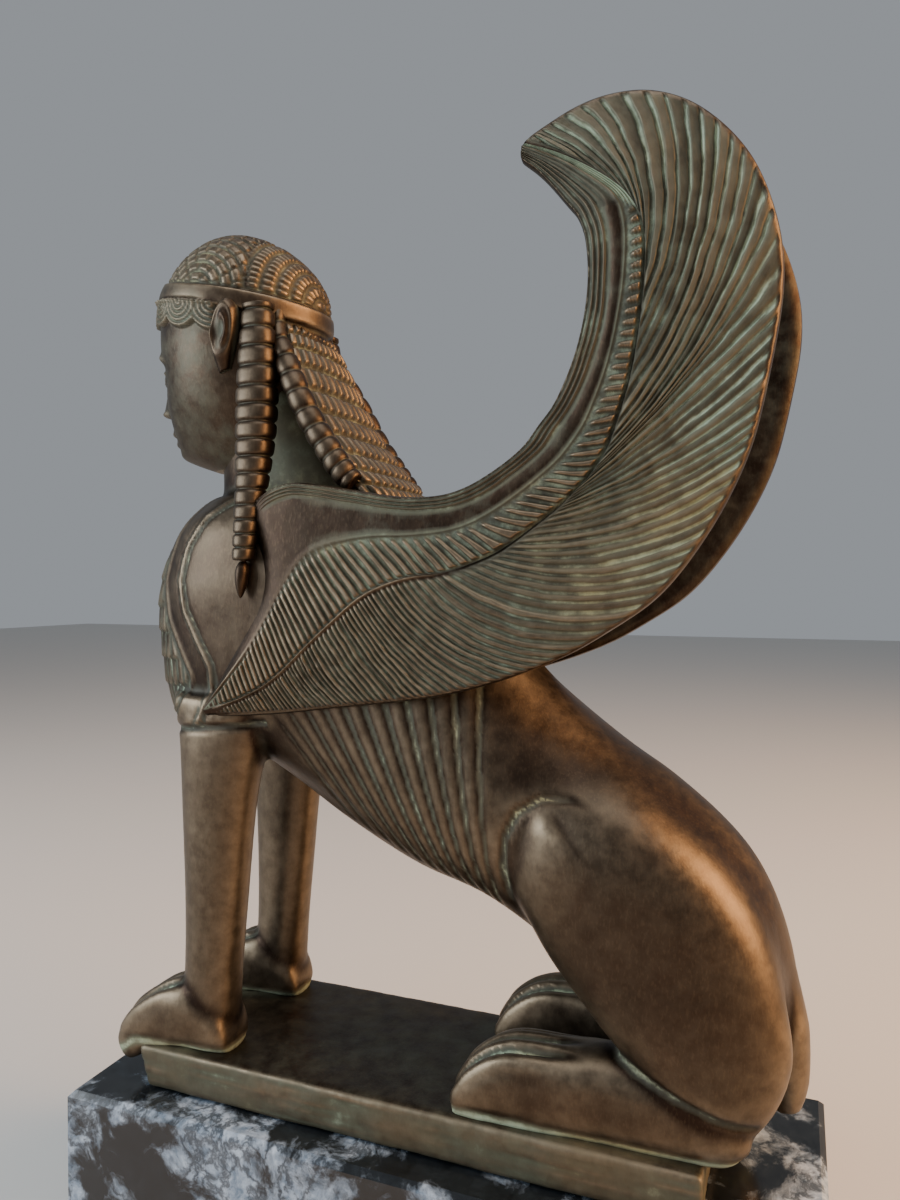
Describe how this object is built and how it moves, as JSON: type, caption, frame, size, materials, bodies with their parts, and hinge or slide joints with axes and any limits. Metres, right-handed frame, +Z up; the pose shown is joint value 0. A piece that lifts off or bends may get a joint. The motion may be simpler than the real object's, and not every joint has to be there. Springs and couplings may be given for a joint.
{
  "type": "winged sphinx statuette",
  "caption": "Bronze statuette of a seated winged sphinx in the archaic Greek manner, on its own thin slab and a polished marble plinth.",
  "frame": {"origin": "middle of the marble plinth's underside", "axes": "+Z up, -Y the way the sphinx faces, +X out of its left side"},
  "size_m": [0.072, 0.193, 0.2968],
  "materials": {
    "bronze": "satin",
    "marble": "polished"
  },
  "bodies": {
    "root": {"bronze_sphinx": "bronze", "marble_plinth": "marble"}
  },
  "joints": []
}
